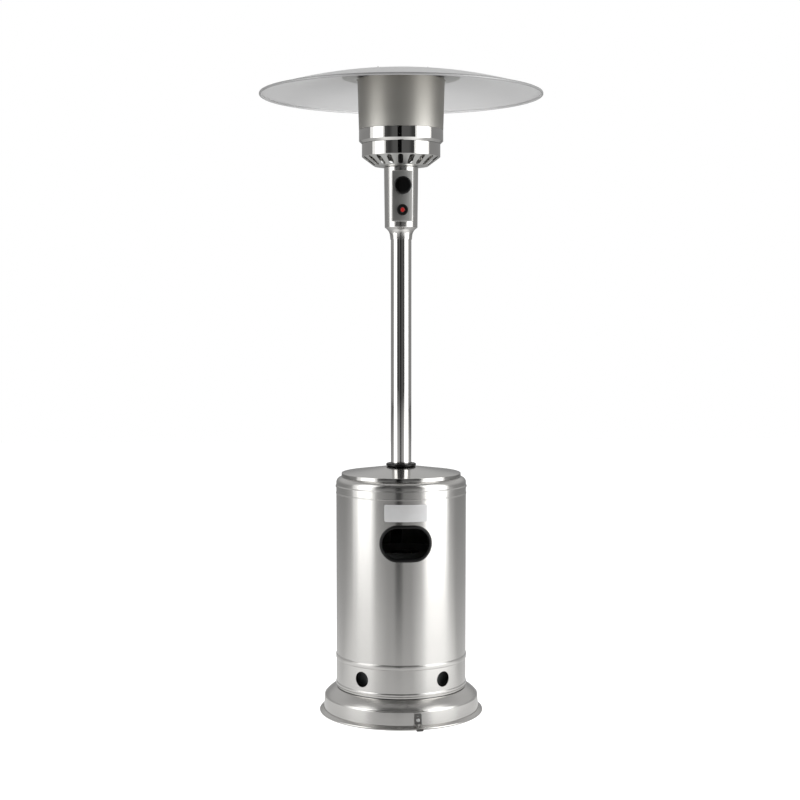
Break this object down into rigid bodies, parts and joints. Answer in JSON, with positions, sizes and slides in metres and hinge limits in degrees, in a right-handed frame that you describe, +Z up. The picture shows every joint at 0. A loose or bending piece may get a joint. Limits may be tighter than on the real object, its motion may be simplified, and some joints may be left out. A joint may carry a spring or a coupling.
{
  "type": "patio heater",
  "caption": "Freestanding gas patio heater: dish reflector and emitter on a post, over a lift-up housing that hides the gas bottle.",
  "frame": {"origin": "on the post's axis at floor level, at the centre of the base", "axes": "+Z up along the post, -Y towards the front, where the hand hole and the controls are, +X to the right seen from the front"},
  "size_m": [0.81, 0.81, 1.8478],
  "materials": {
    "brushed_steel": "brushed stainless sheet, grain round the axis",
    "satin_steel": "satin stainless sheet",
    "polished_steel": "mirror polished stainless",
    "emitter_steel": "dark warm grey perforated heat-proof steel, satin",
    "reflector_aluminium": "matt spun aluminium",
    "fastener_steel": "bright zinc plated",
    "black_plastic": "moulded, fine texture",
    "knob_plastic": "moulded, satin gloss",
    "red_plastic": "moulded, satin",
    "label_film": "blank printed film, satin",
    "bottle_paint": "powder coat",
    "grey_paint": "semi-gloss paint",
    "black_paint": "satin powder coat",
    "brass": "machined",
    "valve_aluminium": "die cast",
    "cast_iron": "rough casting",
    "black_rubber": "matt hose rubber"
  },
  "bodies": {
    "stand": {"base_cover": "brushed_steel", "base_pan": "black_paint", "base_weight": "cast_iron", "rim_clip": "brushed_steel", "rim_clip_screw": "fastener_steel", "support_leg_1": "black_paint", "support_leg_2": "black_paint", "support_leg_3": "black_paint", "foot_bolt_1": "fastener_steel", "foot_bolt_2": "fastener_steel", "foot_bolt_3": "fastener_steel", "post_bracket": "black_paint", "post_bolt_1": "fastener_steel", "post_bolt_2": "fastener_steel", "post_bolt_3": "fastener_steel", "post": "polished_steel", "gas_bottle": "bottle_paint", "bottle_guard": "bottle_paint", "bottle_valve": "brass", "regulator": "grey_paint", "regulator_nut": "black_plastic", "gas_hose": "black_rubber", "control_sleeve": "polished_steel", "control_panel": "satin_steel", "gas_valve": "valve_aluminium", "injector": "brass", "igniter_body": "black_plastic", "igniter_bezel": "black_plastic", "igniter_lead": "black_rubber", "pilot_burner": "brass", "burner_bowl": "satin_steel", "lower_collar": "polished_steel", "upper_collar": "polished_steel", "burner_plate": "fastener_steel", "main_burner": "cast_iron", "emitter_screen": "emitter_steel", "emitter_cap": "emitter_steel", "emitter_stud_1": "fastener_steel", "emitter_stud_2": "fastener_steel", "emitter_stud_3": "fastener_steel", "emitter_stud_4": "fastener_steel", "wing_nut_1": "fastener_steel", "wing_nut_2": "fastener_steel", "wing_nut_3": "fastener_steel", "wing_nut_4": "fastener_steel", "heat_shield": "reflector_aluminium", "reflector": "reflector_aluminium"},
    "housing": {"tank_housing": "brushed_steel", "top_cap": "brushed_steel", "lid": "brushed_steel", "post_collar": "black_plastic", "hand_hole_trim": "black_plastic", "label_plate": "label_film"},
    "handwheel": {"bottle_handwheel": "black_plastic"},
    "spindle": {"valve_spindle": "brass"},
    "knob": {"control_knob": "knob_plastic"},
    "igniter": {"igniter_button": "red_plastic"}
  },
  "joints": [
    {"name": "housing_lift", "type": "slide", "parent": "stand", "child": "housing", "axis": [0, 0, 1], "range_m": [0, 0.6]},
    {"name": "bottle_tap", "type": "hinge", "parent": "stand", "child": "handwheel", "pos_m": [0, 0, 0.456], "axis": [0, 0, 1], "range_deg": [0, 540]},
    {"name": "knob_turn", "type": "hinge", "parent": "stand", "child": "spindle", "pos_m": [0, -0.0515, 1.517], "axis": [0, -1, 0], "range_deg": [0, 210]},
    {"name": "knob_push", "type": "slide", "parent": "spindle", "child": "knob", "axis": [0, 1, 0], "range_m": [0, 0.004], "stiffness_N_per_m": 600},
    {"name": "igniter_push", "type": "slide", "parent": "stand", "child": "igniter", "axis": [0, 1, 0], "range_m": [0, 0.006], "stiffness_N_per_m": 700}
  ]
}
